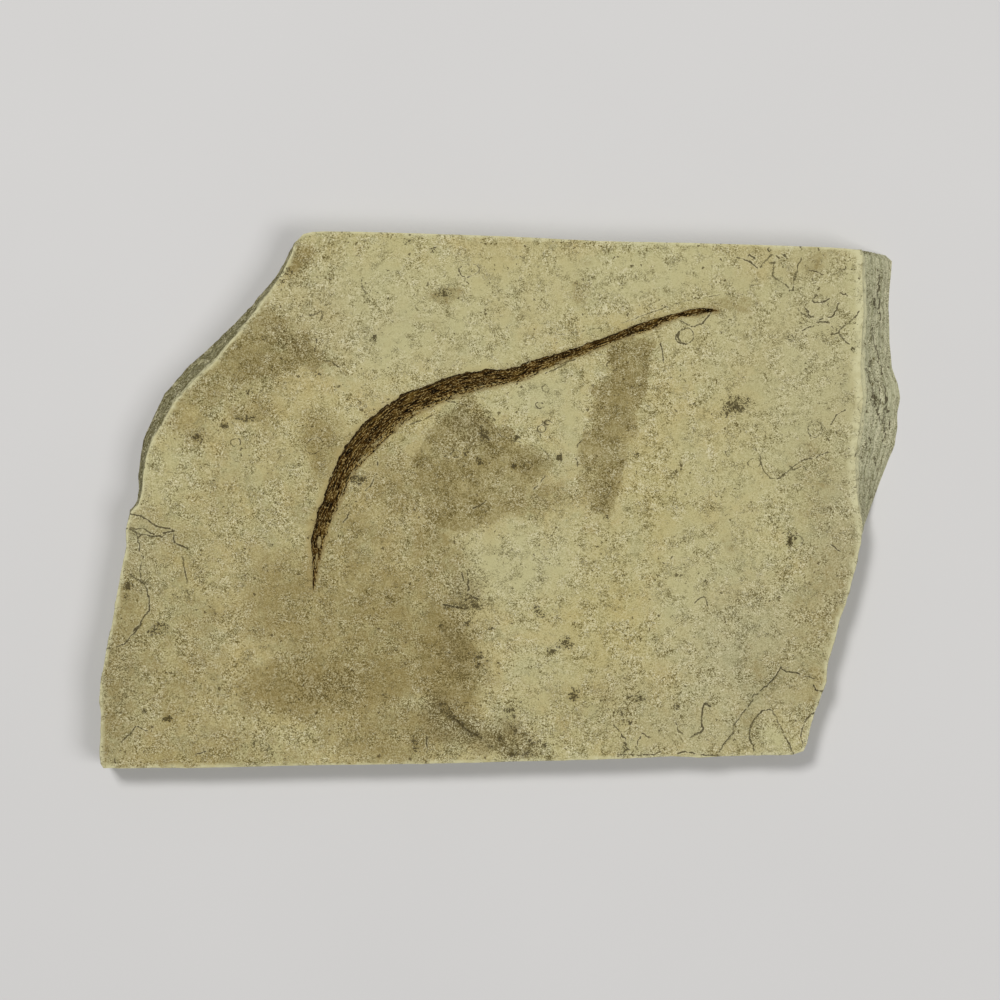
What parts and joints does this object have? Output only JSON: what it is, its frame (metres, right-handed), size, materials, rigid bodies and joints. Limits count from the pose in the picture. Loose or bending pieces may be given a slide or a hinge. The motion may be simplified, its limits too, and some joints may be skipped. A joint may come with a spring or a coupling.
{
  "type": "fossil fish slab",
  "caption": "Flat buff limestone slab with sawn and broken edges and a long slender dark fossil fish on its face.",
  "frame": {"origin": "middle of the slab's base", "axes": "+Z out of the fossil face, +X along the slab's length towards the flared break, +Y towards the sawn long edge nearest the fish's tail"},
  "size_m": [0.2028, 0.1348, 0.0116],
  "materials": {
    "limestone": "matt, fine-grained, buff to khaki with grey-brown stains and dark specks",
    "fossil_film": "dark brown compressed bone and tissue, faintly satin, streaked lengthways"
  },
  "bodies": {
    "root": {"slab": "limestone", "fish": "fossil_film"}
  },
  "joints": []
}
